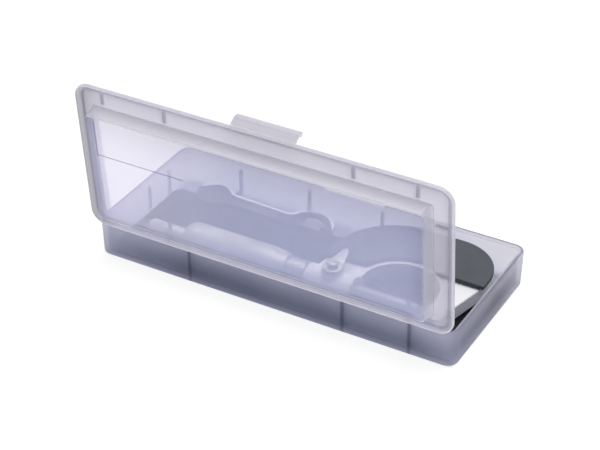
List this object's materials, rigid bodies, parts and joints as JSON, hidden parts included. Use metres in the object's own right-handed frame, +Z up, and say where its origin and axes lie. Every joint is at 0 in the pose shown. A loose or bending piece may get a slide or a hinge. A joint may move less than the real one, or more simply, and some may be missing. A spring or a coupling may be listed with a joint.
{
  "type": "micrometer case",
  "caption": "Frosted hinged plastic case, lid open, holding an outside micrometer and its hook spanner on a thin black foam liner.",
  "frame": {"origin": "centre of the case's underside, on the surface it stands on", "axes": "+X along the case towards the micrometer's frame, +Y from the hinge to the latch side, +Z up"},
  "size_m": [0.16, 0.0814, 0.0859],
  "materials": {
    "frosted_plastic": "frosted translucent",
    "black_foam": "fine matt foam",
    "frame_enamel": "light satin enamel",
    "dark_plate": "smooth matt",
    "ground_steel": "ground",
    "satin_chrome": "satin",
    "black_steel": "blackened",
    "brass": "turned"
  },
  "bodies": {
    "base": {"base_shell": "frosted_plastic", "living_hinge": "frosted_plastic", "foam_liner": "black_foam"},
    "lid": {"lid_shell": "frosted_plastic"},
    "latch": {"latch_tab": "frosted_plastic"},
    "micrometer": {"micrometer_frame": "frame_enamel", "upper_plate": "dark_plate", "lower_plate": "dark_plate", "anvil": "ground_steel", "inner_sleeve": "ground_steel", "adjusting_nut": "black_steel", "lock_bush": "satin_chrome", "lock_shoe": "brass"},
    "sleeve": {"outer_sleeve": "satin_chrome"},
    "spindle": {"spindle": "ground_steel"},
    "thimble": {"thimble": "satin_chrome", "ratchet_collar": "satin_chrome", "ratchet_screw": "black_steel", "ratchet_spring": "black_steel"},
    "ratchet": {"ratchet_knob": "satin_chrome"},
    "lock": {"lock_lever": "satin_chrome", "lock_stud": "satin_chrome"},
    "spanner": {"hook_spanner": "black_steel"}
  },
  "joints": [
    {"name": "lid_hinge", "type": "hinge", "parent": "base", "child": "lid", "pos_m": [0, -0.03415, 0.01645], "axis": [1, 0, 0], "range_deg": [-95.3, 80]},
    {"name": "latch_flex", "type": "hinge", "parent": "lid", "child": "latch", "pos_m": [0, -0.0402, 0.08333], "axis": [1, 0, 0], "range_deg": [-2, 12], "stiffness_Nm_per_rad": 0.08},
    {"name": "micrometer_lift", "type": "slide", "parent": "base", "child": "micrometer", "axis": [0, 0, 1], "range_m": [0, 0.03]},
    {"name": "spanner_lift", "type": "slide", "parent": "base", "child": "spanner", "axis": [0, 0, 1], "range_m": [0, 0.025]},
    {"name": "sleeve_zero", "type": "hinge", "parent": "micrometer", "child": "sleeve", "pos_m": [0, -0.01865, 0.0099], "axis": [1, 0, 0], "range_deg": [-20, 20]},
    {"name": "spindle_feed", "type": "slide", "parent": "micrometer", "child": "spindle", "axis": [1, 0, 0], "range_m": [-0.012, 0.0005]},
    {"name": "thimble_turn", "type": "hinge", "parent": "spindle", "child": "thimble", "pos_m": [0, -0.01865, 0.0099], "axis": [1, 0, 0], "range_deg": [-8641, 361]},
    {"name": "ratchet_spin", "type": "hinge", "parent": "thimble", "child": "ratchet", "pos_m": [0, -0.01865, 0.0099], "axis": [1, 0, 0], "continuous": true},
    {"name": "lock_swing", "type": "hinge", "parent": "micrometer", "child": "lock", "pos_m": [0.0205, -0.01865, 0.0165], "axis": [0, 0, 1], "range_deg": [-15, 45]}
  ],
  "couplings": [
    {"joint": "thimble_turn", "follows": "spindle_feed", "rad_per_m": 12566}
  ]
}
